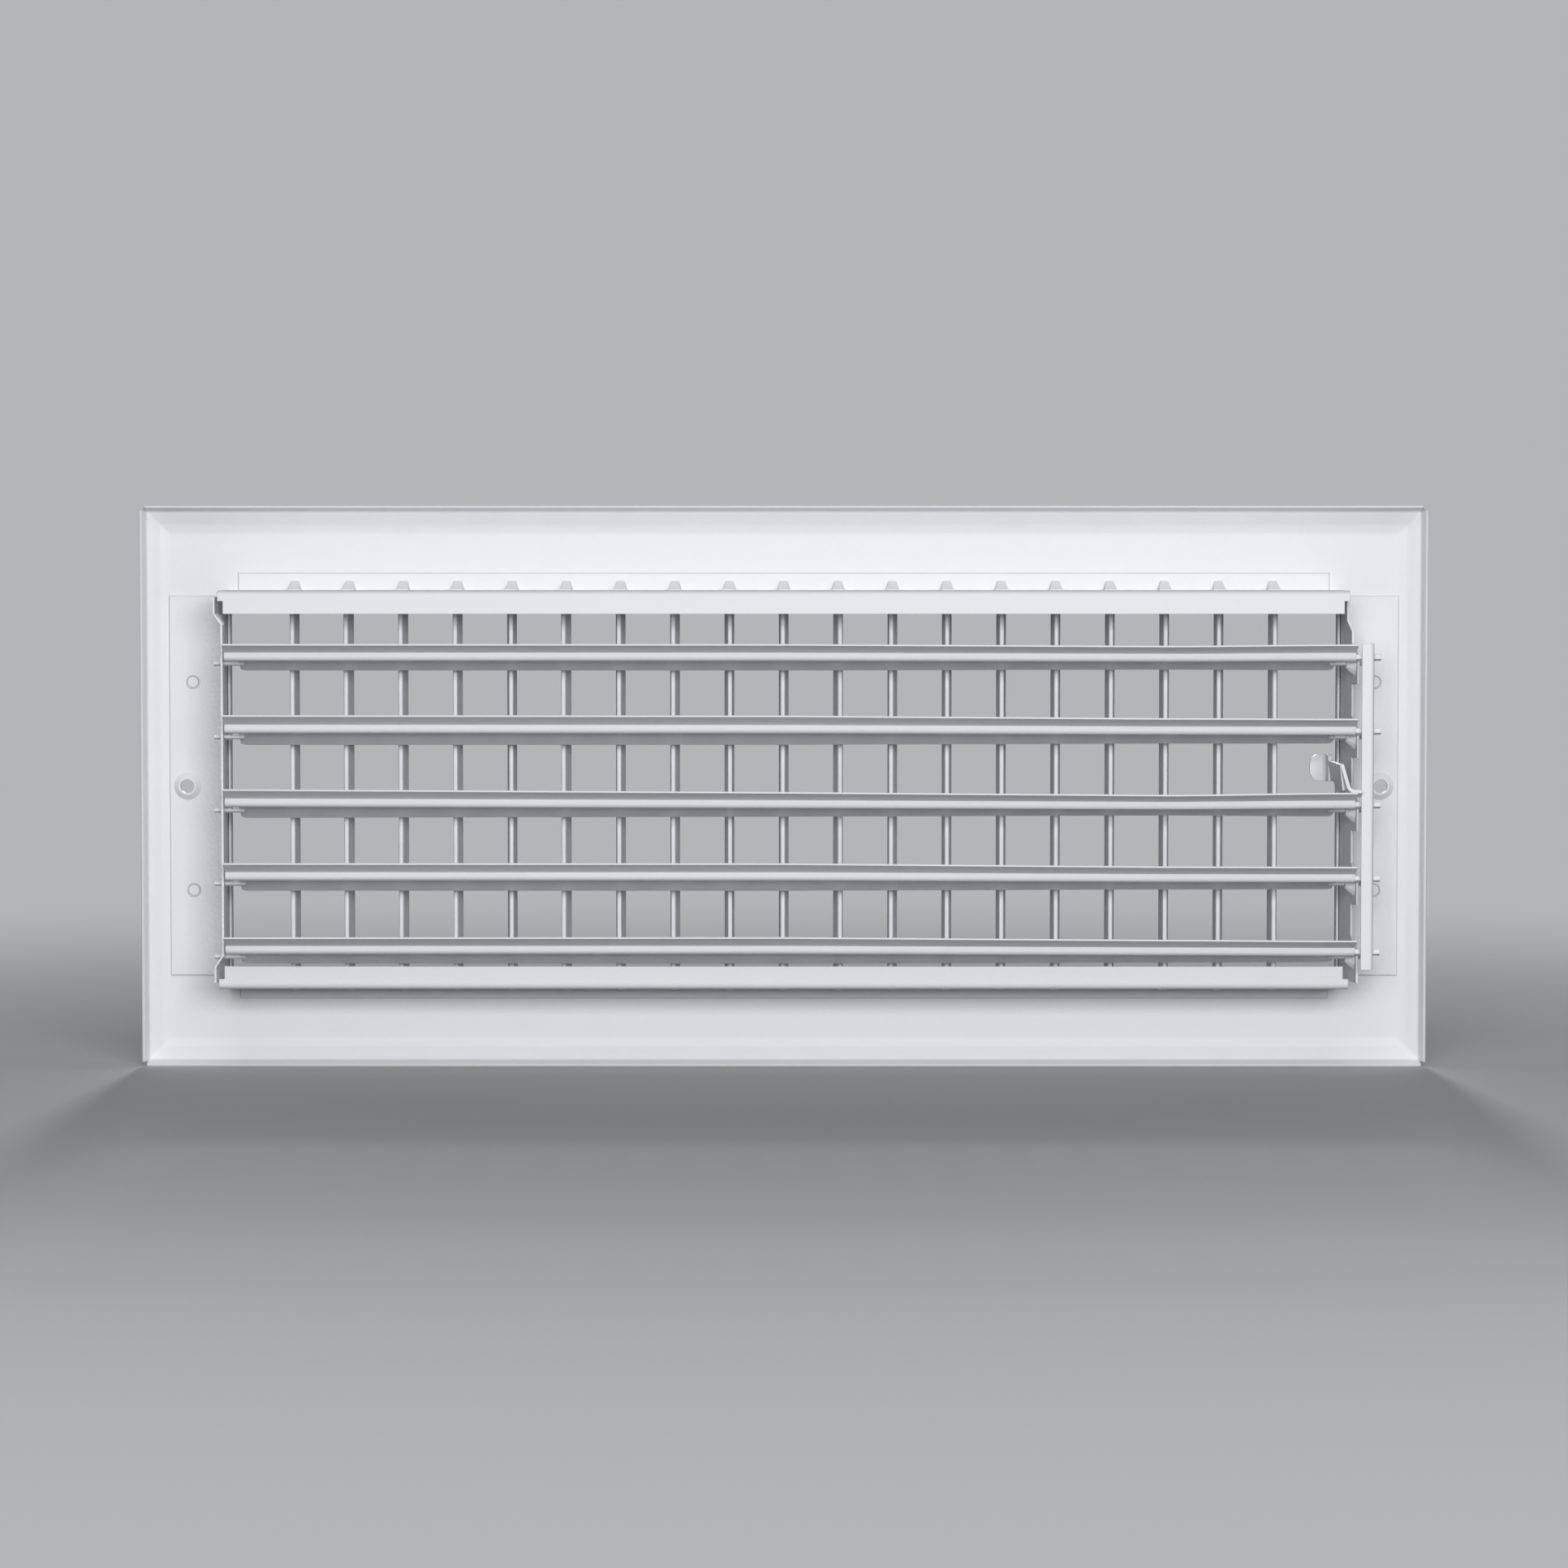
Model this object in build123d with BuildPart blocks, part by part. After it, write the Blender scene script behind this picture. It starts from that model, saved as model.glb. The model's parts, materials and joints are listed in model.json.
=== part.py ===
"""Supply air register: pressed steel face, upright deflector blades and a lever-worked damper behind them.

Frame: X along the face, +Y away from the room into the duct, Z up. The origin is midway between the two
screw holes, on the duct side of their seats. The lever end is at -X.
"""

import os
from math import atan, cos, degrees, hypot, radians, sin

from build123d import *

os.makedirs("parts", exist_ok=True)

# Face: a pressed pan with a bevel and a turned lip
face_width = 450.85
face_height = 196.85
pan_depth = 7.0
sheet = 0.8
lip_rise = 4.4
lip_lean = 1.4
bevel_width = 6.5
crease_run = 1.6
corner_relief = 1.5

# Screw seats
screw_margin = 15.875
screw_hole_r = 2.4
seat_base_r = 4.8
seat_top_r = 3.1
seat_rise = 1.6

# Opening and the collar turned in around it
opening_side_margin = 31.525
opening_end_margin = 31.275
opening_corner_r = 2.0
collar_depth = 6.1

# Channels along the top and bottom of the opening
channel_past_opening = 1.1
channel_gap = 0.1
channel_flange = 5.8
flange_cutback = 3.7
channel_depth = 34.0
channel_lip = 7.2
lip_tab_width = 1.9
lip_tab_height = 3.6
bend_r = 1.2
pocket_base = 4.6
pocket_top = 2.6
pocket_rise = 3.2
pocket_toe = 0.3
pocket_run = 6.4
pocket_bore_depth = 1.8

# End brackets
bracket_short_of_opening = 0.55
bracket_edge_gap = 0.25
plain_hole_sides = 8
bracket_straight = 8.0
plain_bow = 1.8
plain_flare = 0.9
lever_bow = 2.6
bow_ramp = 4.0
plain_bow_margin = 5.5
lever_bow_margin = 8.0

# Deflector blades
deflector_count = 19
deflector_margin = 22.45
deflector_inset = 3.8
deflector_front_r = 1.7
deflector_rear_r = 0.8
deflector_rear_sides = 8
deflector_run = 8.9
deflector_skin = 0.5
nib_width = 2.1
nib_depth = 1.4
nib_length = 2.6
nib_root_width = 2.7
nib_root_depth = 1.8
deflector_end_gap = 0.35
running_gap = 0.06
# How far each blade has been turned by hand, from the +X end, in degrees
deflector_turns = (0, 2, 2, 2, -1, 4, 2, 3, -2, 2, -4, 4, 1, 1, 1, 1, 1, 4, 1)

# Damper blades
damper_count = 5
damper_head = 23.55
damper_foot = 9.15
damper_inset = 28.0
damper_angle = 20.0
damper_lift = 0.9
damper_sheet = 0.6
damper_overlap = 0.6
damper_front = 8.0
damper_end_gap = 0.85
trim_plain = 4.0
trim_off_arm = 0.5
trim_chamfer = 1.4
bead_u = 8.5
bead_half = 1.9
bead_flat = 0.8
bead_depth = 2.2
bead_r = 0.9
trunnion_width = 1.5
trunnion_depth = 1.1
trunnion_grip = 2.0
trunnion_past_wall = 2.0
crank_width = 2.2
crank_depth = 1.6
crank_drop = 0.7
crank_past_link = 2.6

# Pivot ears of the lever end bracket: a dimple round each pivot, and notches measured from it
dimple_base_r = 4.6
dimple_top_r = 1.7
dimple_rise = 2.8
dimple_sides = 12
ear_below = 7.0
ear_floor = 3.0
ear_above_floor = 7.2
ear_above_rear = 2.2

# Link bar
link_gap = 0.15
link_width = 4.25
link_behind = 3.8
link_leg = 7.0
link_hole_sides = 8
link_above = 4.95
link_below = 5.75

# Operating lever
lever_sheet = 1.2
lever_foot_past_wall = 3.4
lever_bend_inside = 1.4
lever_top_inside = 3.8
lever_bend_r = 3.0
lever_foot_from = 12.5
lever_foot_to = 17.5
arm_inside = 4.0
arm_top = 16.4
arm_reach = 30.5
arm_depth = 7.0
arm_lean = 1.3
heel_front = 4.0
heel_rise = 6.0
thumb_width = 6.8
thumb_low = 8.9
thumb_high = 18.3
thumb_front = 4.4
thumb_r = 2.6
thumb_corner_r = 3.4

# Levels along Y that the dimensions above fix
front_y = -(seat_rise + 2 * sheet)
face_back_y = front_y + sheet
flange_back_y = face_back_y + sheet
rim_y = front_y + pan_depth
rear_y = front_y + channel_depth
deflector_y = front_y + deflector_inset
damper_y = front_y + damper_inset

# Places along X and Z that the dimensions above fix
opening_width = face_width - 2 * opening_side_margin
opening_height = face_height - 2 * opening_end_margin
screw_x = face_width / 2 - screw_margin
channel_length = opening_width + 2 * channel_past_opening
wall_x = channel_length / 2
bracket_reach = face_width / 2 - lip_lean - bevel_width - crease_run - bracket_edge_gap
bracket_height = opening_height - 2 * bracket_short_of_opening
web_in_z = opening_height / 2 + sheet + channel_gap
web_out_z = web_in_z + sheet
deflector_end_z = opening_height / 2 - deflector_end_gap
deflector_pitch = (opening_width - 2 * deflector_margin) / (deflector_count - 1)
deflector_xs = [(deflector_count - 1 - 2 * i) * deflector_pitch / 2 for i in range(deflector_count)]
damper_pitch = (opening_height - damper_head - damper_foot) / (damper_count - 1)
damper_zs = [opening_height / 2 - damper_head - i * damper_pitch for i in range(damper_count)]
damper_rear = damper_pitch + damper_overlap - damper_front
plain_ear_x = wall_x - plain_bow
lever_ear_x = wall_x + lever_bow
damper_plain_end = plain_ear_x - damper_end_gap
damper_lever_end = lever_ear_x - damper_end_gap
trim_plain_end = damper_plain_end - trim_plain
trunnion_plain_end = wall_x + trunnion_past_wall
trunnion_lever_end = lever_ear_x + sheet + trunnion_past_wall
trunnion_r = hypot(trunnion_width, trunnion_depth) / 2
crank_r = hypot(crank_width, crank_depth) / 2
link_inner = lever_ear_x + sheet + link_gap
link_outer = link_inner + link_width
crank_end = link_outer + crank_past_link
arm_inner = wall_x - arm_inside
trim_lever_end = arm_inner - trim_off_arm
main_z = damper_zs[damper_count // 2]
rear_dir = (0, cos(radians(damper_angle)), sin(radians(damper_angle)))
upper_dir = (0, -sin(radians(damper_angle)), cos(radians(damper_angle)))
bottom_aligned = (Align.CENTER, Align.CENTER, Align.MIN)


def facing_duct(x, y, z):
    """Plane at a point with its normal into the duct."""
    return Plane(origin=(x, y, z), x_dir=(1, 0, 0), z_dir=(0, 1, 0))


def facing_room(x, y, z):
    """Plane at a point with its normal into the room, X across and Z up."""
    return Plane(origin=(x, y, z), x_dir=(1, 0, 0), z_dir=(0, -1, 0))


def across_blade(x, z):
    """Plane square to a damper pivot: first axis to the blade's rear edge, second to its upper side."""
    return Plane(origin=(x, damper_y, z), x_dir=rear_dir, z_dir=(1, 0, 0))


def blade_point(u, v):
    """Y and Z, from the pivot, of a point given in a damper blade's own axes."""
    return (u * rear_dir[1] + v * upper_dir[1], u * rear_dir[2] + v * upper_dir[2])


def folded_sheet(plane, points, radius, thickness, side):
    """Section of a folded sheet whose one surface follows the points."""
    with BuildSketch(plane) as section:
        with BuildLine():
            FilletPolyline(*points, radius=radius)
            offset(amount=thickness, side=side)
        make_face()
    return section.sketch


def screw_seat(x, y):
    """Conical seat raised towards the duct from a sheet whose room side lies at y, with its screw hole."""
    with Locations(facing_duct(x, y + sheet, 0)):
        Cone(seat_base_r, seat_top_r, seat_rise, align=bottom_aligned)
    with Locations(facing_duct(x, y, 0)):
        Cone(seat_base_r, seat_top_r, seat_rise, align=bottom_aligned, mode=Mode.SUBTRACT)
        Cylinder(screw_hole_r, seat_rise + 2 * sheet, align=bottom_aligned, mode=Mode.SUBTRACT)


def bracket_flange():
    """Flange, bend and straight root of an end bracket, drawn at the +X end."""
    root = front_y + bracket_straight
    corner = [(bracket_reach, face_back_y), (wall_x, face_back_y), (wall_x, root)]
    flange = folded_sheet(Plane.XY.offset(-bracket_height / 2), corner, bend_r, sheet, Side.RIGHT)
    extrude(flange, amount=bracket_height)
    screw_seat(screw_x, face_back_y)


def bracket_wall(heights, bows):
    """Bowed wall of an end bracket, strip by strip up its height, drawn at the +X end."""
    root = front_y + bracket_straight
    for top, low, top_bow, low_bow in zip(heights, heights[1:], bows, bows[1:]):
        if top_bow == low_bow:
            inner = [(wall_x, root), (wall_x + top_bow, rear_y)]
            outer = [(x + sheet, y) for x, y in reversed(inner)]
            with BuildSketch(Plane.XY.offset(low)) as level:
                Polygon(*inner, *outer, align=None)
            extrude(level.sketch, amount=top - low)
        else:
            edges = []
            for y, share in ((root, 0), (rear_y, 1)):
                top_x = wall_x + share * top_bow
                low_x = wall_x + share * low_bow
                with BuildSketch(facing_room(0, y, 0)) as ramp:
                    Polygon((top_x, top), (top_x + sheet, top), (low_x + sheet, low), (low_x, low), align=None)
                edges.append(ramp.sketch)
            loft(edges, ruled=True)


def at_pivots(x):
    """Planes square to the damper pivots, facing +X."""
    return [Plane(origin=(x, damper_y, z), z_dir=(1, 0, 0)) for z in damper_zs]


def hollow_section():
    """Inside of a deflector blade, folded flat along its flanks, with the pivot at the plane's origin."""
    RegularPolygon(deflector_front_r - deflector_skin, 8)
    with Locations((0, deflector_run)):
        RegularPolygon(deflector_rear_r - deflector_skin, 4)
    make_hull()


with BuildPart() as face_frame:
    lip_width = face_width - 2 * lip_lean
    lip_height = face_height - 2 * lip_lean
    with BuildSketch(facing_room(0, rim_y, 0)):
        Rectangle(face_width, face_height)
    with BuildSketch(facing_room(0, rim_y - lip_rise, 0)):
        Rectangle(lip_width, lip_height)
    crease_rise = crease_run * (rim_y - lip_rise - front_y) / bevel_width
    for inset, y in ((bevel_width - crease_run, front_y + crease_rise), (bevel_width + crease_run, front_y)):
        with BuildSketch(facing_room(0, y, 0)):
            Rectangle(lip_width - 2 * inset, lip_height - 2 * inset)
    loft(ruled=True)
    offset(amount=-sheet, openings=face_frame.faces().sort_by(Axis.Y)[-1], kind=Kind.INTERSECTION)
    with BuildSketch(facing_duct(0, front_y, 0)):
        RectangleRounded(opening_width + 2 * sheet, opening_height + 2 * sheet, opening_corner_r + sheet)
    extrude(amount=collar_depth)
    with BuildSketch(facing_duct(0, front_y, 0)):
        RectangleRounded(opening_width, opening_height, opening_corner_r)
    extrude(amount=pan_depth, mode=Mode.SUBTRACT)
    notch_half = hypot(nib_width, nib_depth) / 2 + running_gap
    with Locations(*[(x, deflector_y - notch_half, 0) for x in deflector_xs]):
        Box(
            2 * notch_half,
            collar_depth,
            opening_height + 4 * sheet,
            align=(Align.CENTER, Align.MIN, Align.CENTER),
            mode=Mode.SUBTRACT,
        )
    with BuildSketch(facing_room(0, rim_y, 0)):
        with GridLocations(face_width, face_height, 2, 2):
            Rectangle(2 * corner_relief, 2 * corner_relief)
    extrude(amount=lip_rise, mode=Mode.SUBTRACT)
    for seat_x in (-screw_x, screw_x):
        screw_seat(seat_x, front_y)
face_frame.part.label = "face_frame"
export_step(face_frame.part, "parts/face_frame.step")

with BuildPart() as top_channel:
    lip_y = rear_y - sheet
    bends = [
        (face_back_y, web_in_z),
        (lip_y, web_in_z),
        (lip_y, web_in_z - channel_lip),
    ]
    channel = folded_sheet(Plane.YZ.offset(-channel_length / 2), bends, bend_r, sheet, Side.LEFT)
    extrude(channel, amount=channel_length)
    with Locations((0, face_back_y, web_in_z)):
        Box(
            channel_length - 2 * flange_cutback,
            sheet,
            sheet + channel_flange,
            align=(Align.CENTER, Align.MIN, Align.MIN),
        )
    with BuildSketch(facing_room(0, rear_y, web_out_z - lip_tab_height)):
        with GridLocations(channel_length, 0, 2, 1):
            Rectangle(2 * lip_tab_width, 2 * channel_lip, align=(Align.CENTER, Align.MAX))
    extrude(amount=2 * sheet, both=True, mode=Mode.SUBTRACT)
    pocket_y = face_back_y + sheet / 2
    pocket_end_y = flange_back_y + pocket_run
    with BuildSketch(facing_room(0, pocket_y, web_out_z - sheet / 2)):
        with Locations(*[(x, 0) for x in deflector_xs]):
            foot = pocket_base / 2
            ridge = pocket_top / 2
            rise = pocket_rise + sheet / 2
            Polygon((-foot, 0), (foot, 0), (ridge, rise), (-ridge, rise), align=None)
    extrude(amount=pocket_y - pocket_end_y)
    with BuildSketch(Plane.YZ.offset(-channel_length / 2)):
        Polygon(
            (flange_back_y, web_out_z + pocket_rise),
            (pocket_end_y, web_out_z + pocket_toe),
            (pocket_end_y, web_out_z + pocket_rise),
            align=None,
        )
    extrude(amount=channel_length, mode=Mode.SUBTRACT)
    with Locations(*[(x, deflector_y, web_in_z) for x in deflector_xs]):
        Box(2 * notch_half, 2 * notch_half, pocket_bore_depth, align=bottom_aligned, mode=Mode.SUBTRACT)
top_channel.part.label = "top_channel"
export_step(top_channel.part, "parts/top_channel.step")

with BuildPart() as bottom_channel:
    add(mirror(top_channel.part, about=Plane.XY))
bottom_channel.part.label = "bottom_channel"
export_step(bottom_channel.part, "parts/bottom_channel.step")

with BuildPart() as plain_end_bracket:
    bracket_flange()
    end_z = bracket_height / 2
    bow_z = end_z - plain_bow_margin
    wall_heights = [end_z, bow_z, bow_z - bow_ramp, bow_ramp - bow_z, -bow_z, -end_z]
    bracket_wall(wall_heights, [plain_flare, plain_flare, -plain_bow, -plain_bow, plain_flare, plain_flare])
    with BuildSketch(*at_pivots(wall_x)):
        RegularPolygon(trunnion_r + running_gap, plain_hole_sides, major_radius=False)
    extrude(amount=bracket_reach - wall_x, both=True, mode=Mode.SUBTRACT)
plain_end_bracket.part.label = "plain_end_bracket"
export_step(plain_end_bracket.part, "parts/plain_end_bracket.step")

with BuildPart() as dimple:
    with BuildSketch():
        RegularPolygon(dimple_base_r, dimple_sides)
    extrude(amount=dimple_rise, taper=degrees(atan((dimple_base_r - dimple_top_r) / dimple_rise)))

with BuildPart() as lever_end_bracket:
    bracket_flange()
    end_z = bracket_height / 2
    bow_z = end_z - lever_bow_margin
    bracket_wall([end_z, bow_z, bow_z - bow_ramp, -end_z], [0, 0, lever_bow, lever_bow])
    wall_run = channel_depth - bracket_straight
    ear_x = wall_x + lever_bow * (damper_inset - bracket_straight) / wall_run
    inward = (-wall_run, lever_bow, 0)
    for face_x, mode in ((ear_x, Mode.ADD), (ear_x + sheet, Mode.SUBTRACT)):
        with Locations(*[Plane(origin=(face_x, damper_y, z), z_dir=inward) for z in damper_zs]):
            add(dimple.part, mode=mode)
    with Locations(*at_pivots(wall_x)):
        Cylinder(trunnion_r + running_gap, bracket_reach - wall_x, mode=Mode.SUBTRACT)
    ear_rear = channel_depth - damper_inset
    ear_slope = (ear_above_floor - ear_above_rear) / (ear_floor + ear_rear)
    ear_past = ear_above_rear - ear_slope * sheet
    for pivot_z, roof_z in zip(damper_zs, [end_z + sheet] + [z - ear_below for z in damper_zs[:-1]]):
        with BuildSketch(Plane(origin=(wall_x, damper_y, 0), x_dir=(0, 1, 0), z_dir=(1, 0, 0))):
            with BuildLine():
                Polyline(
                    (-ear_floor, pivot_z + ear_above_floor),
                    (ear_rear + sheet, pivot_z + ear_past),
                    (ear_rear + sheet, roof_z),
                    (-ear_floor, roof_z),
                    close=True,
                )
            make_face()
    extrude(amount=bracket_reach - wall_x, both=True, mode=Mode.SUBTRACT)
    mirror(about=Plane.YZ, mode=Mode.REPLACE)
lever_end_bracket.part.label = "lever_end_bracket"
export_step(lever_end_bracket.part, "parts/lever_end_bracket.step")

for number, (x, turn) in enumerate(zip(deflector_xs, deflector_turns), start=1):
    with BuildPart() as deflector:
        foot = Plane(origin=(x, deflector_y, -deflector_end_z)).rotated((0, 0, -turn))
        with BuildSketch(foot):
            Circle(deflector_front_r)
            with Locations((0, deflector_run)):
                RegularPolygon(deflector_rear_r, deflector_rear_sides)
            make_hull()
        extrude(amount=2 * deflector_end_z)
        with BuildSketch(foot):
            hollow_section()
        extrude(amount=2 * deflector_end_z, mode=Mode.SUBTRACT)
        for end, side in ((-deflector_end_z, 1), (deflector_end_z, -1)):
            with BuildSketch(foot.offset(end + deflector_end_z)):
                Rectangle(nib_root_width, nib_root_depth)
            extrude(amount=side * nib_length)
            with BuildSketch(foot.offset(end + deflector_end_z)):
                Rectangle(nib_width, nib_depth)
            extrude(amount=-side * nib_length)
    deflector.part.label = f"deflector_{number:02d}"
    export_step(deflector.part, f"parts/deflector_{number:02d}.step")

for number, pivot_z in enumerate(damper_zs, start=1):
    with BuildPart() as damper:
        section = [
            (-damper_front, damper_lift),
            (bead_u - bead_half, damper_lift),
            (bead_u - bead_flat, damper_lift - bead_depth),
            (bead_u + bead_flat, damper_lift - bead_depth),
            (bead_u + bead_half, damper_lift),
            (damper_rear, damper_lift),
        ]
        end_plane = across_blade(-damper_lever_end, pivot_z)
        beaded = folded_sheet(end_plane, section, bead_r, damper_sheet, Side.RIGHT)
        extrude(beaded, amount=damper_lever_end + damper_plain_end)
        trim_u = bead_u - 2 * bead_half
        with BuildSketch(Plane(origin=(0, damper_y, pivot_z), x_dir=(1, 0, 0), z_dir=upper_dir)):
            for end, side in ((trim_plain_end, 1), (trim_lever_end, -1)):
                with BuildLine():
                    Polyline(
                        (side * end, trim_u),
                        (side * end, trim_chamfer - damper_front),
                        (side * (end - trim_chamfer), -damper_front),
                        (side * (end - trim_chamfer), -damper_rear),
                        (side * bracket_reach, -damper_rear),
                        (side * bracket_reach, trim_u),
                        close=True,
                    )
                make_face()
        extrude(amount=2 * bead_depth, both=True, mode=Mode.SUBTRACT)
        with BuildSketch(across_blade(trim_plain_end - trunnion_grip, pivot_z)):
            Rectangle(trunnion_width, trunnion_depth)
        extrude(amount=trunnion_plain_end - trim_plain_end + trunnion_grip)
        with BuildSketch(across_blade(-trunnion_lever_end, pivot_z)):
            Rectangle(trunnion_width, trunnion_depth)
        extrude(amount=trunnion_lever_end - trim_lever_end + trunnion_grip)
        with BuildSketch(across_blade(-crank_end, pivot_z)):
            with Locations((bead_u, -crank_drop)):
                Rectangle(crank_width, crank_depth)
        extrude(amount=crank_end - damper_lever_end + trunnion_grip)
    damper.part.label = f"damper_{number}"
    export_step(damper.part, f"parts/damper_{number}.step")

crank_dy, crank_dz = blade_point(bead_u, -crank_drop)

with BuildPart() as link_bar:
    strip_y = damper_y + crank_dy + link_behind
    link_low = damper_zs[-1] + crank_dz - link_below
    link_high = damper_zs[0] + crank_dz + link_above
    angle = [(-link_inner, strip_y), (-link_outer, strip_y), (-link_outer, strip_y - link_leg)]
    bar = folded_sheet(Plane.XY.offset(link_low), angle, bend_r, sheet, Side.LEFT)
    extrude(bar, amount=link_high - link_low)
    for pivot_z in damper_zs:
        crank_at = (-link_outer, damper_y + crank_dy, pivot_z + crank_dz)
        with BuildSketch(Plane(origin=crank_at, x_dir=(0, 1, 0), z_dir=(1, 0, 0))):
            if pivot_z == main_z:
                Circle(crank_r + running_gap)
            else:
                RegularPolygon(crank_r + running_gap, link_hole_sides, major_radius=False)
    extrude(amount=2 * sheet, both=True, mode=Mode.SUBTRACT)
link_bar.part.label = "link_bar"
export_step(link_bar.part, "parts/link_bar.step")

with BuildPart() as operating_lever:
    side_plane = Plane(origin=(0, damper_y, main_z), x_dir=(1, 0, 0), z_dir=rear_dir)
    riser_top = (arm_top - lever_foot_to * rear_dir[2]) / rear_dir[1]
    riser = [
        (-wall_x - lever_foot_past_wall, -damper_lift),
        (-wall_x + lever_bend_inside, -damper_lift),
        (-wall_x + lever_top_inside, -riser_top),
    ]
    strip = folded_sheet(side_plane.offset(lever_foot_from), riser, lever_bend_r, lever_sheet, Side.RIGHT)
    extrude(strip, amount=lever_foot_to - lever_foot_from)
    arm_low = arm_top - arm_depth
    rear_top = blade_point(lever_foot_to, riser_top)
    rear_low = blade_point(lever_foot_from, damper_lift + 2 * lever_sheet)
    slope = arm_lean / (arm_top - heel_rise)
    outline = [
        (rear_top[0], arm_top),
        (-arm_reach, arm_top),
        (-arm_reach, arm_low),
        (-arm_reach / 2, arm_low),
        (-heel_front, heel_rise),
        rear_low,
    ]
    arm_at = (-arm_inner, damper_y, main_z + arm_top)
    with BuildSketch(Plane(origin=arm_at, x_dir=(0, 1, 0), z_dir=(-1, 0, slope))):
        Polygon(*[(y, (arm_top - z) * hypot(1, slope)) for y, z in outline], align=None)
    extrude(amount=lever_sheet)
    thumb_y = front_y - thumb_front
    arm_out = arm_inner + lever_sheet
    hook_y = damper_y - arm_reach + arm_depth
    hook = [(-arm_out, hook_y), (-arm_out, thumb_y), (-arm_out + thumb_width, thumb_y)]
    thumb = folded_sheet(Plane.XY.offset(main_z + thumb_low), hook, thumb_r, lever_sheet, Side.LEFT)
    extrude(thumb, amount=thumb_high - thumb_low)
    fillet(operating_lever.edges().filter_by(Axis.Y).sort_by(Axis.X)[-2:], radius=thumb_corner_r)
operating_lever.part.label = "operating_lever"
export_step(operating_lever.part, "parts/operating_lever.step")
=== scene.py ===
# %% [markdown]
# # A supply air register, seen from its duct side
# The register is a pressed steel face with upright deflector blades, and a lever-worked damper behind
# them. Everything is steel sheet under one white powder coat, so form and film do the work here, not
# colour. This lesson twists the damper blades a little, as they are in the photograph, and adds the
# clinch rims. Then come a powder coat with soft edges, a pale studio and the camera.

import json
from math import cos, pi, radians, sin

import bmesh
import bpy
from mathutils import Matrix, Vector


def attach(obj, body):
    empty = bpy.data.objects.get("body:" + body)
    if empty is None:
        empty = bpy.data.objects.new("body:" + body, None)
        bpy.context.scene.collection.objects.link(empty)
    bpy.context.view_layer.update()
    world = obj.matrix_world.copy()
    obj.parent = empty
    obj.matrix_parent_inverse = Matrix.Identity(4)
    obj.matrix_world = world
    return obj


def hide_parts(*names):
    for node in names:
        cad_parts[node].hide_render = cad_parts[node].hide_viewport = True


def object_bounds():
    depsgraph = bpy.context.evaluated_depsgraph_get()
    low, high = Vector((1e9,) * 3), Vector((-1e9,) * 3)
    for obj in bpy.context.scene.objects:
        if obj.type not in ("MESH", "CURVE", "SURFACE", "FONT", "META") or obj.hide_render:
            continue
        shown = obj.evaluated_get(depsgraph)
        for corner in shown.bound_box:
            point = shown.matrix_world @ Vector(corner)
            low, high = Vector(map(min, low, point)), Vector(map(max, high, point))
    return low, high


MM = 0.001
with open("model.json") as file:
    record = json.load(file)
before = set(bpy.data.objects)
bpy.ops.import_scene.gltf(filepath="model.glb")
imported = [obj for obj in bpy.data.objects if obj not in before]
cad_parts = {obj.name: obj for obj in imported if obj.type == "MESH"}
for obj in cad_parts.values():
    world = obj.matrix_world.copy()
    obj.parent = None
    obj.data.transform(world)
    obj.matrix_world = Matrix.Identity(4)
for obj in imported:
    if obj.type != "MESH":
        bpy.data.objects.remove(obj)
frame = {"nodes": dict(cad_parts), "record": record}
nodes = frame["nodes"]
cad_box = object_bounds()

# %% [markdown]
# ## Which piece is which
# The finishes follow how each piece was made: the face was pressed and coated flat, the brackets were
# coated after assembly and caught more powder near their walls, and the blades were coated as thin
# strips. Grouping the nodes by name first keeps every later step a loop.

# %% Groups of pieces
face = [nodes["face_frame"]]
channels = [nodes["top_channel"], nodes["bottom_channel"]]
brackets = [nodes["plain_end_bracket"], nodes["lever_end_bracket"]]
deflectors = [nodes[name] for name in sorted(nodes) if name.startswith("deflector_")]
dampers = [nodes[name] for name in sorted(nodes) if name.startswith("damper_")]
linkage = [nodes["link_bar"], nodes["operating_lever"]]
for group in (face, channels, brackets, deflectors, dampers, linkage):
    print([piece.name for piece in group])

# %% [markdown]
# ## Blades that have been handled
# Each damper blade is held by the link at its lever end only, so the thin strip has twisted along its
# length. The solids are straight. A copy of each blade is cut across at even steps, and each slice is
# turned about the blade's own pivot line by an angle that runs from the plain end to the lever end. The
# ends past the trunnions stay as they are, so the crank tabs still sit in the link.

# %% Twisted damper blades
# Degrees at the plain end, at the middle and where the link's hold begins
TWISTS = {
    "damper_1": (0.5, 0.4, -1.6),
    "damper_2": (4.0, 3.6, 0.6),
    "damper_3": (4.0, 0.8, -2.4),
    "damper_4": (4.0, 4.0, 0.4),
    "damper_5": (3.6, 4.0, 1.0),
}
PLAIN_END = 190 * MM
HOLD_FROM = -130 * MM
HOLD_TO = -194 * MM
SLICES = 32
MERGE = 0.001 * MM


def twist_at(x, angles):
    """Angle in radians at a place along a blade: straight runs, eased to nothing where the link holds it."""
    plain, middle, hold = angles
    if x > 0:
        angle = middle + (plain - middle) * min(1.0, x / PLAIN_END)
    else:
        angle = middle + (hold - middle) * min(1.0, x / HOLD_FROM)
    held = max(0.0, min(1.0, (x - HOLD_FROM) / (HOLD_TO - HOLD_FROM)))
    return radians(angle * (1 - held * held * (3 - 2 * held)))


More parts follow.
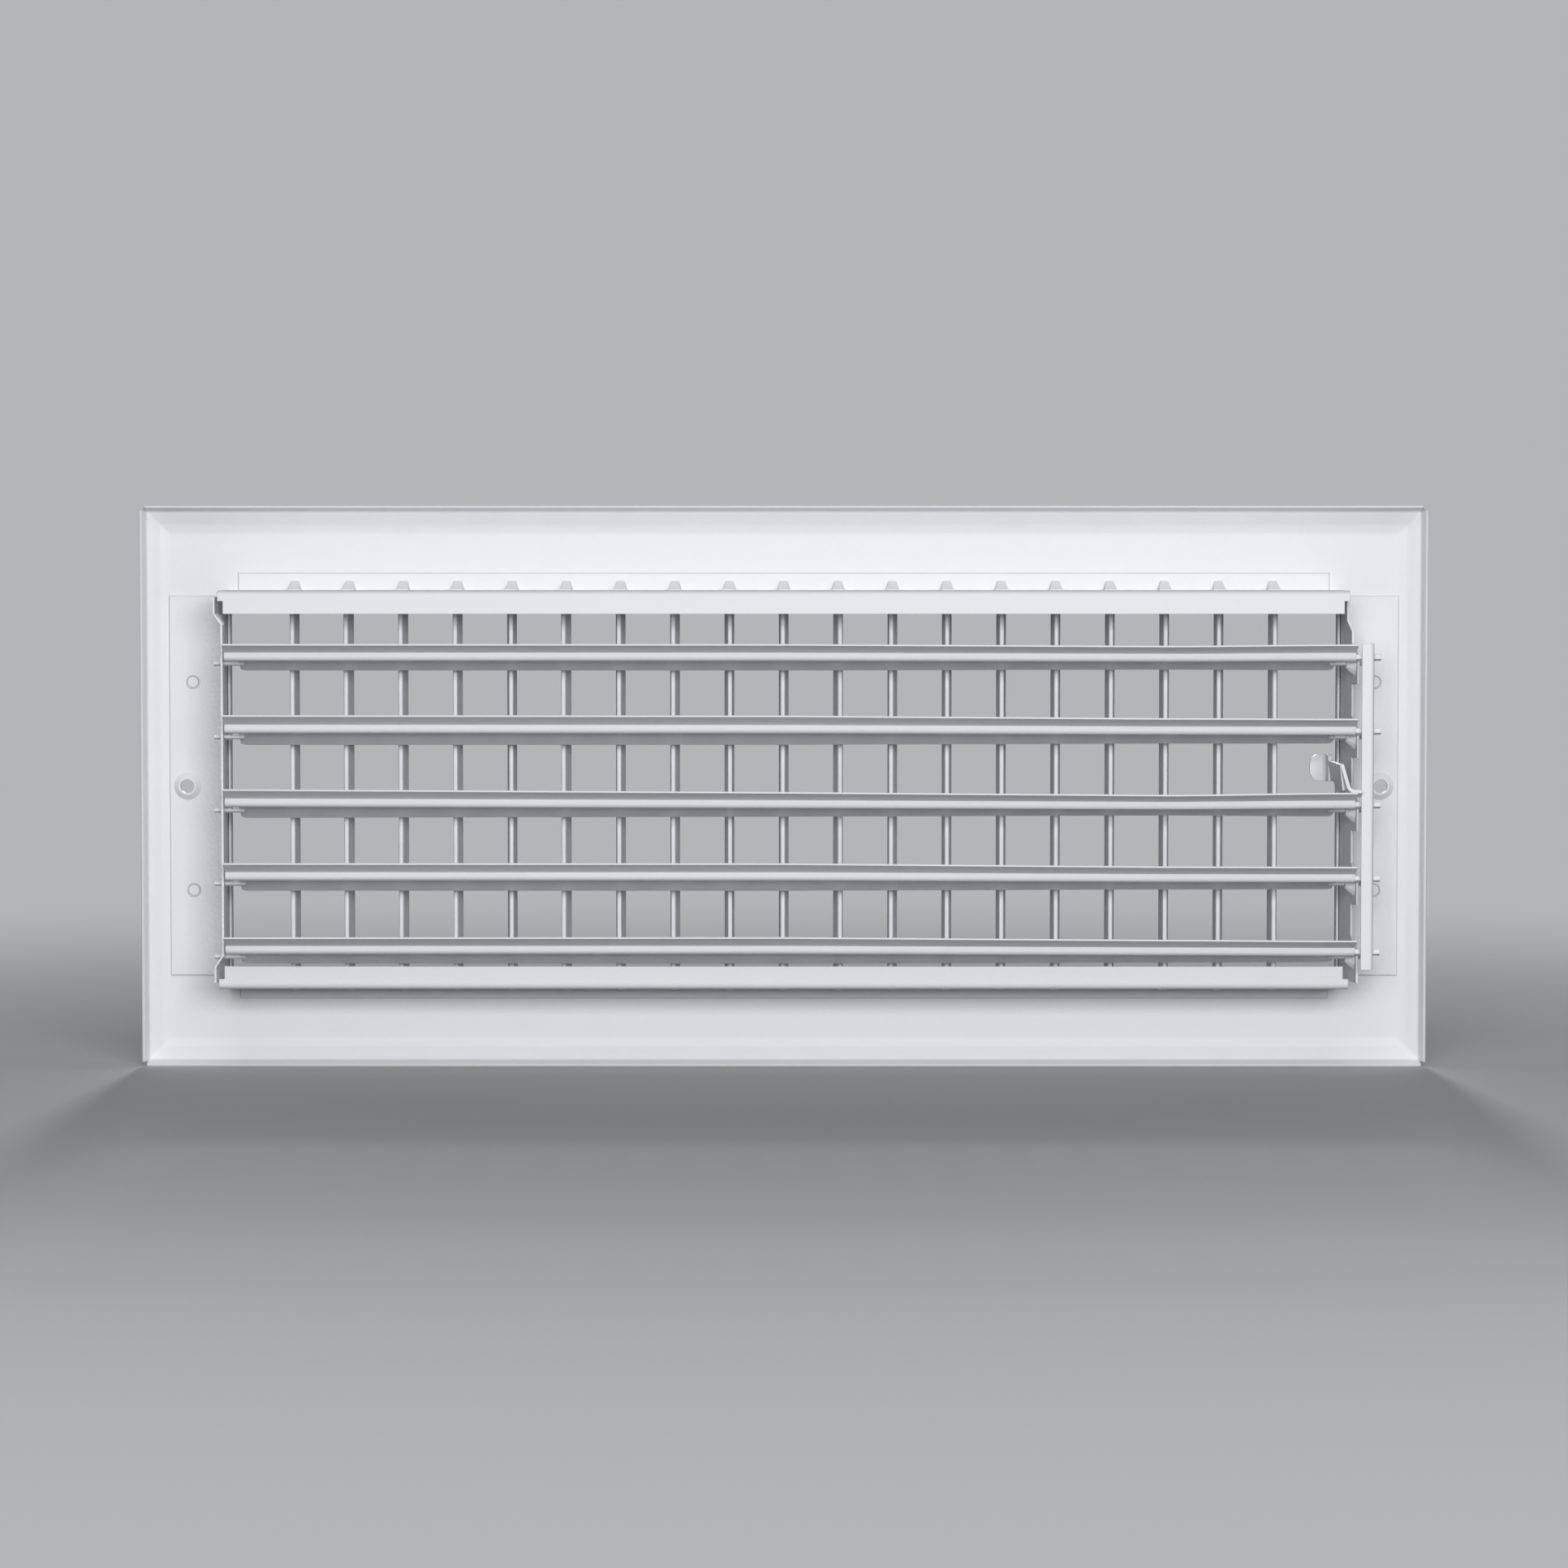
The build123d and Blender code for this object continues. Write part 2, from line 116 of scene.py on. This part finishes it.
pivots = {joint["child"]: Vector(joint["pos_m"]) for joint in frame["record"]["behaviour"]["joints"]}
twisted = []
for blade in dampers:
    mesh = blade.data.copy()
    strip = bmesh.new()
    strip.from_mesh(mesh)
    bmesh.ops.remove_doubles(strip, verts=strip.verts, dist=MERGE)
    for i in range(SLICES + 1):
        x = HOLD_TO + (PLAIN_END - HOLD_TO) * i / SLICES
        everything = strip.verts[:] + strip.edges[:] + strip.faces[:]
        bmesh.ops.bisect_plane(strip, geom=everything, plane_co=(x, 0, 0), plane_no=(1, 0, 0))
    pivot = pivots[blade.name]
    for vertex in strip.verts:
        turn = Matrix.Rotation(twist_at(vertex.co.x, TWISTS[blade.name]), 3, "X")
        vertex.co = pivot + turn @ (vertex.co - pivot)
    strip.to_mesh(mesh)
    strip.free()
    copy = bpy.data.objects.new(blade.name + "_twisted", mesh)
    bpy.context.scene.collection.objects.link(copy)
    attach(copy, blade.name)
    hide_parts(blade.name)
    twisted.append(copy)
    print(copy.name, len(mesh.vertices), "vertices")

# %% [markdown]
# ## Clinch rims
# Each bracket is clinched to the face at two places, and the punch leaves a low round rim on the flange.
# A bump in the material could draw it, but a rim of its own also shows from the side. A ray that runs along
# the clinch finds the flange, so the rim sits on the sheet whatever its thickness.

# %% The four clinch rims
CLINCH_ACROSS = 207.5 * MM
CLINCH_UP = 36.6 * MM
CLINCH_R = 2.3 * MM
RIM_HALF = 0.3 * MM
RIM_HIGH = 0.16 * MM
RIM_SUNK = 0.05 * MM
RIM_SIDES = 32
RAY_FROM = 50 * MM


def clinch_rim(bracket, side, up):
    """A low ring with a ridged crest, standing on the bracket's flange."""
    found, seat, _, _ = bracket.ray_cast((side * CLINCH_ACROSS, RAY_FROM, up * CLINCH_UP), (0, -1, 0))
    profile = ((-RIM_HALF, -RIM_SUNK), (0.0, RIM_HIGH), (RIM_HALF, -RIM_SUNK))
    mesh = bmesh.new()
    rings = []
    for i in range(RIM_SIDES):
        turn = 2 * pi * i / RIM_SIDES
        ring = []
        for out, high in profile:
            r = CLINCH_R + out
            ring.append(mesh.verts.new((seat.x + r * cos(turn), seat.y + high, seat.z + r * sin(turn))))
        rings.append(ring)
    for i, ring in enumerate(rings):
        after = rings[(i + 1) % RIM_SIDES]
        for k in range(len(profile)):
            mesh.faces.new((ring[k], ring[k - 1], after[k - 1], after[k]))
    bmesh.ops.recalc_face_normals(mesh, faces=mesh.faces)
    name = "clinch_rim_%s_%s" % ("plain" if side > 0 else "lever", "top" if up > 0 else "bottom")
    data = bpy.data.meshes.new(name)
    mesh.to_mesh(data)
    mesh.free()
    rim = bpy.data.objects.new(name, data)
    bpy.context.scene.collection.objects.link(rim)
    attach(rim, "frame")
    print(name, "found" if found else "missed", "seat at y %.2f mm" % (seat.y / MM))
    return rim


rims = []
for bracket, side in zip(brackets, (1, -1)):
    for up in (1, -1):
        rims.append(clinch_rim(bracket, side, up))

# %% [markdown]
# ## Orange peel, as a node group
# Powder coat melts into a film that is never quite flat: it keeps a fine, soft dimpling called orange
# peel. Two noises do it, one for the dimples and a broader one for slow changes of thickness and gloss.
# It is a group because every finish below uses it, each with its own grain.

# %% Node helpers and the orange peel group


def add_node(tree, kind, **settings):
    """A node of that kind, with the given properties and input values set."""
    node = tree.nodes.new(kind)
    for name, value in settings.items():
        if hasattr(node, name):
            setattr(node, name, value)
        else:
            node.inputs[name.replace("_", " ")].default_value = value
    return node


def orange_peel_group():
    """Height of the dimpled film, and a slow mottle of its thickness from 0 to 1."""
    tree = bpy.data.node_groups.new("orange_peel", "ShaderNodeTree")
    for name, value in (("Grain", 900.0), ("Drift", 60.0)):
        socket = tree.interface.new_socket(name, in_out="INPUT", socket_type="NodeSocketFloat")
        socket.default_value = value
    for name in ("Height", "Mottle"):
        tree.interface.new_socket(name, in_out="OUTPUT", socket_type="NodeSocketFloat")
    inside = add_node(tree, "NodeGroupInput")
    outside = add_node(tree, "NodeGroupOutput")
    place = add_node(tree, "ShaderNodeTexCoord")
    dimples = add_node(tree, "ShaderNodeTexNoise", Detail=1.5, Roughness=0.5)
    drift = add_node(tree, "ShaderNodeTexNoise", Detail=3.0, Roughness=0.55)
    tree.links.new(place.outputs["Object"], dimples.inputs["Vector"])
    tree.links.new(place.outputs["Object"], drift.inputs["Vector"])
    tree.links.new(inside.outputs["Grain"], dimples.inputs["Scale"])
    tree.links.new(inside.outputs["Drift"], drift.inputs["Scale"])
    tree.links.new(dimples.outputs["Fac"], outside.inputs["Height"])
    tree.links.new(drift.outputs["Fac"], outside.inputs["Mottle"])
    return tree


orange_peel = orange_peel_group()
print("node group:", orange_peel.name)

# %% [markdown]
# ## Clinch grooves, as a node group
# Inside each rim the punch leaves a groove that is too fine to be worth triangles, so the material draws it
# with a bump and darkens it with painted shade. All four grooves mirror each other across the middle of the
# register, and one distance from the mirrored centre finds every one of them.

# %% The ring mark group


def ring_mark_group():
    """1 on a fine ring round a centre that is mirrored left to right and top to bottom, otherwise 0."""
    tree = bpy.data.node_groups.new("ring_mark", "ShaderNodeTree")
    for name in ("Across", "Up", "Radius", "Width"):
        tree.interface.new_socket(name, in_out="INPUT", socket_type="NodeSocketFloat")
    tree.interface.new_socket("Mark", in_out="OUTPUT", socket_type="NodeSocketFloat")
    inside = add_node(tree, "NodeGroupInput")
    outside = add_node(tree, "NodeGroupOutput")
    place = add_node(tree, "ShaderNodeTexCoord")
    mirrored = add_node(tree, "ShaderNodeVectorMath", operation="ABSOLUTE")
    parts = add_node(tree, "ShaderNodeSeparateXYZ")
    offset = add_node(tree, "ShaderNodeCombineXYZ")
    tree.links.new(place.outputs["Object"], mirrored.inputs[0])
    tree.links.new(mirrored.outputs["Vector"], parts.inputs["Vector"])
    for axis, centre in (("X", "Across"), ("Z", "Up")):
        away = add_node(tree, "ShaderNodeMath", operation="SUBTRACT")
        tree.links.new(parts.outputs[axis], away.inputs[0])
        tree.links.new(inside.outputs[centre], away.inputs[1])
        tree.links.new(away.outputs["Value"], offset.inputs[axis])
    distance = add_node(tree, "ShaderNodeVectorMath", operation="LENGTH")
    ring = add_node(tree, "ShaderNodeMath", operation="COMPARE")
    tree.links.new(offset.outputs["Vector"], distance.inputs[0])
    tree.links.new(distance.outputs["Value"], ring.inputs[0])
    tree.links.new(inside.outputs["Radius"], ring.inputs[1])
    tree.links.new(inside.outputs["Width"], ring.inputs[2])
    tree.links.new(ring.outputs["Value"], outside.inputs["Mark"])
    return tree


ring_mark = ring_mark_group()
print("node group:", ring_mark.name)

# %% [markdown]
# ## Lap lines, as a node group
# Where a flange lies on the face the powder bridges the step, and a thin line of shade follows the flange's
# edge; that shade is painted into the face's colour. The flanges are mirrored boxes too, so the distance
# from a mirrored box draws each line.
# The flanges lie on the duct side only, so a face that looks the other way gets none.

# %% The lap line group


def lap_line_group():
    """1 at the edge of a mirrored box on the duct side of the face, falling to 0 over the given width."""
    tree = bpy.data.node_groups.new("lap_line", "ShaderNodeTree")
    for name in ("Centre X", "Centre Z", "Half X", "Half Z", "Width"):
        tree.interface.new_socket(name, in_out="INPUT", socket_type="NodeSocketFloat")
    tree.interface.new_socket("Mark", in_out="OUTPUT", socket_type="NodeSocketFloat")
    inside = add_node(tree, "NodeGroupInput")
    outside = add_node(tree, "NodeGroupOutput")
    place = add_node(tree, "ShaderNodeTexCoord")
    mirrored = add_node(tree, "ShaderNodeVectorMath", operation="ABSOLUTE")
    parts = add_node(tree, "ShaderNodeSeparateXYZ")
    beyond = add_node(tree, "ShaderNodeMath", operation="MAXIMUM")
    tree.links.new(place.outputs["Object"], mirrored.inputs[0])
    tree.links.new(mirrored.outputs["Vector"], parts.inputs["Vector"])
    for i, axis in enumerate("XZ"):
        away = add_node(tree, "ShaderNodeMath", operation="SUBTRACT")
        span = add_node(tree, "ShaderNodeMath", operation="ABSOLUTE")
        past = add_node(tree, "ShaderNodeMath", operation="SUBTRACT")
        tree.links.new(parts.outputs[axis], away.inputs[0])
        tree.links.new(inside.outputs["Centre " + axis], away.inputs[1])
        tree.links.new(away.outputs["Value"], span.inputs[0])
        tree.links.new(span.outputs["Value"], past.inputs[0])
        tree.links.new(inside.outputs["Half " + axis], past.inputs[1])
        tree.links.new(past.outputs["Value"], beyond.inputs[i])
    line = add_node(tree, "ShaderNodeMapRange", interpolation_type="SMOOTHSTEP")
    line.inputs["To Min"].default_value = 1.0
    line.inputs["To Max"].default_value = 0.0
    off_edge = add_node(tree, "ShaderNodeMath", operation="ABSOLUTE")
    looks = add_node(tree, "ShaderNodeSeparateXYZ")
    duct_side = add_node(tree, "ShaderNodeMath", operation="GREATER_THAN")
    duct_side.inputs[1].default_value = 0.5
    mark = add_node(tree, "ShaderNodeMath", operation="MULTIPLY")
    tree.links.new(beyond.outputs["Value"], off_edge.inputs[0])
    tree.links.new(off_edge.outputs["Value"], line.inputs["Value"])
    tree.links.new(inside.outputs["Width"], line.inputs["From Max"])
    tree.links.new(place.outputs["Normal"], looks.inputs["Vector"])
    tree.links.new(looks.outputs["Y"], duct_side.inputs[0])
    tree.links.new(line.outputs["Result"], mark.inputs[0])
    tree.links.new(duct_side.outputs["Value"], mark.inputs[1])
    tree.links.new(mark.outputs["Value"], outside.inputs["Mark"])
    return tree


lap_line = lap_line_group()
print("node group:", lap_line.name)

# %% [markdown]
# ## The powder-coat recipe
# The white is a cool one, a little bluer than paper, with a satin gloss. Every finish shares one recipe
# and differs in how rough the film is. Powder rounds a sharp edge, and a Bevel node gives the light that
# roundness without more triangles.

# %% Powder-coat recipe
THICK_WHITE = (0.80, 0.81, 0.83, 1)
THIN_WHITE = (0.755, 0.765, 0.785, 1)
SPECULAR = 0.35
PEEL_STRENGTH = 0.6
EDGE_R = 0.4 * MM
EDGE_SAMPLES = 6


def powder_coat(name, grain, depth, gloss, round_r=EDGE_R):
    """White powder coat: grain in dimples per metre, their depth in metres, gloss as a roughness range."""
    material = bpy.data.materials.new(name)
    material.use_nodes = True
    tree = material.node_tree
    shader = tree.nodes["Principled BSDF"]
    shader.inputs["Specular IOR Level"].default_value = SPECULAR
    peel = add_node(tree, "ShaderNodeGroup", node_tree=orange_peel)
    peel.inputs["Grain"].default_value = grain
    white = add_node(tree, "ShaderNodeMix", data_type="RGBA")
    white.inputs["A"].default_value = THIN_WHITE
    white.inputs["B"].default_value = THICK_WHITE
    sheen = add_node(tree, "ShaderNodeMapRange")
    sheen.inputs["To Min"].default_value = gloss[0]
    sheen.inputs["To Max"].default_value = gloss[1]
    bump = add_node(tree, "ShaderNodeBump", Strength=PEEL_STRENGTH, Distance=depth)
    edge = add_node(tree, "ShaderNodeBevel", samples=EDGE_SAMPLES, Radius=round_r)
    tree.links.new(peel.outputs["Mottle"], white.inputs["Factor"])
    tree.links.new(peel.outputs["Mottle"], sheen.inputs["Value"])
    tree.links.new(peel.outputs["Height"], bump.inputs["Height"])
    tree.links.new(edge.outputs["Normal"], bump.inputs["Normal"])
    tree.links.new(white.outputs["Result"], shader.inputs["Base Color"])
    tree.links.new(sheen.outputs["Result"], shader.inputs["Roughness"])
    tree.links.new(bump.outputs["Normal"], shader.inputs["Normal"])
    return material


SATIN = (0.42, 0.55)
THICK_FILM = 0.06 * MM
THIN_FILM = 0.04 * MM
channel_white = powder_coat("channel_white", 700.0, THICK_FILM, SATIN)
rim_white = powder_coat("clinch_rim_white", 900.0, THIN_FILM, SATIN)
blade_white = powder_coat("blade_white", 1100.0, THIN_FILM, (0.36, 0.48))
print("plain finishes:", channel_white.name, rim_white.name, blade_white.name)

# %% [markdown]
# ## The brackets' finish
# Powder that a wall throws back settles beside it as pebbles, far more of it at the plain end than at the
# lever end. A second noise makes the pebbles, and a mask lets them fade out away from the wall. The same
# material takes the clinch grooves, as a bump with painted shade darkening their colour.

# %% Bracket finish
CLINCH = {"Across": CLINCH_ACROSS, "Up": CLINCH_UP, "Radius": CLINCH_R - RIM_HALF, "Width": 0.2 * MM}
GROOVE_DEPTH = 0.15 * MM
# painted shade: the colour multiplied into the base colour along each clinch groove
GROOVE_PAINTED_SHADE = (0.62, 0.62, 0.63, 1)
PEBBLES_PER_METRE = 750.0
PEBBLE_FROM = 196 * MM
PEBBLE_TO = 208 * MM


def bracket_coat(name, pebble):
    """Powder coat with the clinch rings pressed into it and darkened with painted shade, and pebbles of the
    given depth towards the wall.
    """
    material = powder_coat(name, 900.0, THICK_FILM, SATIN)
    tree = material.node_tree
    shader = tree.nodes["Principled BSDF"]
    film = shader.inputs["Normal"].links[0].from_socket
    colour = shader.inputs["Base Color"].links[0].from_socket
    ring = add_node(tree, "ShaderNodeGroup", node_tree=ring_mark)
    for socket, value in CLINCH.items():
        ring.inputs[socket].default_value = value
    groove = add_node(tree, "ShaderNodeBump", invert=True, Strength=0.8, Distance=GROOVE_DEPTH)
    # painted shade: the groove's ring is darkened in the base colour, standing in for the shade inside it
    shadowed = add_node(tree, "ShaderNodeMix", data_type="RGBA", blend_type="MULTIPLY")
    shadowed.inputs["B"].default_value = GROOVE_PAINTED_SHADE
    place = add_node(tree, "ShaderNodeTexCoord")
    pebbles = add_node(tree, "ShaderNodeTexNoise", Scale=PEBBLES_PER_METRE, Detail=1.0)
    parts = add_node(tree, "ShaderNodeSeparateXYZ")
    span = add_node(tree, "ShaderNodeMath", operation="ABSOLUTE")
    near_wall = add_node(tree, "ShaderNodeMapRange", interpolation_type="SMOOTHSTEP")
    near_wall.inputs["From Min"].default_value = PEBBLE_FROM
    near_wall.inputs["From Max"].default_value = PEBBLE_TO
    near_wall.inputs["To Min"].default_value = 1.0
    near_wall.inputs["To Max"].default_value = 0.0
    rough = add_node(tree, "ShaderNodeBump", Strength=0.9, Distance=pebble)
    height = add_node(tree, "ShaderNodeMath", operation="MULTIPLY")
    tree.links.new(place.outputs["Object"], pebbles.inputs["Vector"])
    tree.links.new(place.outputs["Object"], parts.inputs["Vector"])
    tree.links.new(parts.outputs["X"], span.inputs[0])
    tree.links.new(span.outputs["Value"], near_wall.inputs["Value"])
    tree.links.new(pebbles.outputs["Fac"], height.inputs[0])
    tree.links.new(near_wall.outputs["Result"], height.inputs[1])
    tree.links.new(height.outputs["Value"], rough.inputs["Height"])
    tree.links.new(film, rough.inputs["Normal"])
    tree.links.new(ring.outputs["Mark"], groove.inputs["Height"])
    tree.links.new(rough.outputs["Normal"], groove.inputs["Normal"])
    tree.links.new(groove.outputs["Normal"], shader.inputs["Normal"])
    tree.links.new(colour, shadowed.inputs["A"])
    tree.links.new(ring.outputs["Mark"], shadowed.inputs["Factor"])
    tree.links.new(shadowed.outputs["Result"], shader.inputs["Base Color"])
    return material


plain_white = bracket_coat("plain_bracket_white", 0.3 * MM)
lever_white = bracket_coat("lever_bracket_white", 0.06 * MM)
print("bracket finishes:", plain_white.name, lever_white.name)

# %% [markdown]
# ## The face's finish
# The face takes a line of painted shade round the flanges of the brackets and of the channels. Its bends are
# pressed, so they are much rounder than a cut edge, and its Bevel node gets a larger radius.

# %% Face finish
BEND_R = 1.4 * MM
# painted shade: the colour multiplied into the face along each flange's edge
LAP_PAINTED_SHADE = (0.66, 0.66, 0.67, 1)
LAP_WIDTH = 0.6 * MM
BRACKET_LAP = {"Centre X": 205.3 * MM, "Centre Z": 0.0, "Half X": 10.4 * MM, "Half Z": 66.6 * MM}
CHANNEL_LAP = {"Centre X": 0.0, "Centre Z": 71.7 * MM, "Half X": 191.3 * MM, "Half Z": 2.95 * MM}


def face_coat(name):
    """Powder coat with a line of painted shade round each flange that lies on the face."""
    material = powder_coat(name, 700.0, THICK_FILM, SATIN, BEND_R)
    tree = material.node_tree
    shader = tree.nodes["Principled BSDF"]
    for lap in (BRACKET_LAP, CHANNEL_LAP):
        colour = shader.inputs["Base Color"].links[0].from_socket
        line = add_node(tree, "ShaderNodeGroup", node_tree=lap_line)
        line.inputs["Width"].default_value = LAP_WIDTH
        for socket, value in lap.items():
            line.inputs[socket].default_value = value
        # painted shade: a darker line in the base colour along the flange's edge, standing in for the shadow
        # at the step
        shadowed = add_node(tree, "ShaderNodeMix", data_type="RGBA", blend_type="MULTIPLY")
        shadowed.inputs["B"].default_value = LAP_PAINTED_SHADE
        tree.links.new(colour, shadowed.inputs["A"])
        tree.links.new(line.outputs["Mark"], shadowed.inputs["Factor"])
        tree.links.new(shadowed.outputs["Result"], shader.inputs["Base Color"])
    return material


face_white = face_coat("face_white")
print("face finish:", face_white.name)

# %% [markdown]
# ## Finishes onto pieces
# Every piece has one material slot, so a finish goes on by filling that slot. The twisted copies take the
# place of the straight damper blades here.

# %% Give each piece its finish
for pieces, finish in (
    (face, face_white),
    (channels, channel_white),
    (brackets[:1], plain_white),
    (brackets[1:], lever_white),
    (rims, rim_white),
    (deflectors + twisted + linkage, blade_white),
):
    for piece in pieces:
        piece.data.materials.clear()
        piece.data.materials.append(finish)
    print(finish.name, "on", len(pieces), "pieces")

# %% [markdown]
# ## The studio floor
# A plain pale floor carries the shadow. It runs out into a background of the same grey, so no horizon
# line cuts through the blades. Only the camera sees that grey: the light on the register comes from the
# lamps.

# %% Floor
FLOOR_RADIUS = 4.0
FLOOR_SIDES = 96

floor_mesh = bpy.data.meshes.new("studio_floor")
disc = bmesh.new()
bmesh.ops.create_circle(disc, cap_ends=True, radius=FLOOR_RADIUS, segments=FLOOR_SIDES)
disc.to_mesh(floor_mesh)
disc.free()
floor = bpy.data.objects.new("studio_floor", floor_mesh)
floor.location.z = cad_box[0][2]
bpy.context.scene.collection.objects.link(floor)
print("floor at", round(floor.location.z / MM, 2), "mm")

# %% [markdown]
# ## The floor's paper
# Near the register the paper is lit, so the shadow shows. Further out it fades into the background's own
# grey. Light that bounces meets a darker paper, or the undersides of the blades would glow.

# %% Floor paper
FLOOR_TONE = (0.45, 0.46, 0.47, 1)
FLOOR_BOUNCE = (0.15, 0.15, 0.15, 1)
FADE_FROM = 0.12
FADE_TO = 0.9

paper = bpy.data.materials.new("floor_paper")
paper.use_nodes = True
tree = paper.node_tree
lit = tree.nodes["Principled BSDF"]
shade = add_node(tree, "ShaderNodeMix", data_type="RGBA")
shade.inputs["A"].default_value = FLOOR_BOUNCE
shade.inputs["B"].default_value = FLOOR_TONE
tree.links.new(shade.outputs["Result"], lit.inputs["Base Color"])
lit.inputs["Roughness"].default_value = 0.9
far = add_node(tree, "ShaderNodeEmission", Color=FLOOR_TONE)
place = add_node(tree, "ShaderNodeTexCoord")
distance = add_node(tree, "ShaderNodeVectorMath", operation="LENGTH")
fade = add_node(tree, "ShaderNodeMapRange", interpolation_type="SMOOTHSTEP")
fade.inputs["From Min"].default_value = FADE_FROM
fade.inputs["From Max"].default_value = FADE_TO
direct = add_node(tree, "ShaderNodeMath", operation="MULTIPLY")
blend = add_node(tree, "ShaderNodeMixShader")
tree.links.new(place.outputs["Object"], distance.inputs[0])
tree.links.new(distance.outputs["Value"], fade.inputs["Value"])
tree.links.new(fade.outputs["Result"], direct.inputs[0])
path = add_node(tree, "ShaderNodeLightPath")
tree.links.new(path.outputs["Is Camera Ray"], direct.inputs[1])
tree.links.new(path.outputs["Is Camera Ray"], shade.inputs["Factor"])
tree.links.new(direct.outputs["Value"], blend.inputs["Fac"])
tree.links.new(lit.outputs["BSDF"], blend.inputs[1])
tree.links.new(far.outputs["Emission"], blend.inputs[2])
tree.links.new(blend.outputs["Shader"], tree.nodes["Material Output"].inputs["Surface"])
floor_mesh.materials.append(paper)
print("paper fades from", FADE_FROM, "to", FADE_TO, "m")

# %% [markdown]
# ## The world
# The camera sees the floor's grey behind the register. Every other ray meets a faint ambient light, so
# the sheet's inner sides stay dark between the lamps.

# %% World
AMBIENT = 0.012

world = bpy.data.worlds.new("studio")
bpy.context.scene.world = world
world.use_nodes = True
tree = world.node_tree
ambient = tree.nodes["Background"]
ambient.inputs["Strength"].default_value = AMBIENT
grey = add_node(tree, "ShaderNodeBackground", Color=FLOOR_TONE)
blend = add_node(tree, "ShaderNodeMixShader")
path = add_node(tree, "ShaderNodeLightPath")
tree.links.new(path.outputs["Is Camera Ray"], blend.inputs["Fac"])
tree.links.new(ambient.outputs["Background"], blend.inputs[1])
tree.links.new(grey.outputs["Background"], blend.inputs[2])
tree.links.new(blend.outputs["Shader"], tree.nodes["World Output"].inputs["Surface"])
print("ambient", AMBIENT)

# %% [markdown]
# ## The lamps
# The photograph's light comes from the camera's side and a little above it: the face is bright, the
# undersides of the damper blades fall to mid grey, and the bottom channel shades the flange below it. One
# wide soft key does that, and a weak lamp overhead lifts what looks up. The room side needs a lamp of its
# own for the other views. It stands far away and straight ahead, so its light runs along the blades and
# walls and hardly marks the duct side.

# %% Lamps


def lamp(name, at, width, height, watts, aim=(0, 0, 0)):
    """A rectangular area lamp at a place in metres, turned to a point."""
    light = bpy.data.lights.new(name, "AREA")
    light.shape = "RECTANGLE"
    light.size = width
    light.size_y = height
    light.energy = watts
    holder = bpy.data.objects.new(name, light)
    holder.location = at
    holder.rotation_euler = (Vector(aim) - Vector(at)).to_track_quat("-Z", "Y").to_euler()
    holder.visible_camera = False
    bpy.context.scene.collection.objects.link(holder)
    return holder


lamps = [
    lamp("key", (-0.12, 2.0, 0.39), 1.4, 0.56, 34),
    lamp("overhead", (0.0, 1.1, 1.5), 1.2, 0.6, 6),
    lamp("room", (0.0, -4.4, 1.0), 0.5, 0.4, 76),
]
print("lamps:", [one.name for one in lamps])

# %% [markdown]
# ## The photograph's camera
# A long lens about 1.7 metres away, less than three degrees above the register's middle. The distance
# comes from how much nearer the rear lips look than the rim, and the focal length from the width of the
# face in the picture.

# %% Camera
IMAGE_WIDTH_PX = 1932
FOCAL_PX = 5888
CAMERA_AT = Vector((-3.3, 1676.5, 80.2)) * MM
CAMERA_AIM = Vector((-0.1, 0.0, 0.8)) * MM

camera_data = bpy.data.cameras.new("camera")
camera_data.lens = camera_data.sensor_width * FOCAL_PX / IMAGE_WIDTH_PX
camera = bpy.data.objects.new("camera", camera_data)
camera.location = CAMERA_AT
camera.rotation_euler = (CAMERA_AIM - CAMERA_AT).to_track_quat("-Z", "Y").to_euler()
bpy.context.scene.collection.objects.link(camera)
bpy.context.scene.camera = camera
bpy.context.scene.view_settings.view_transform = "Standard"
print("lens", round(camera_data.lens, 1), "mm")
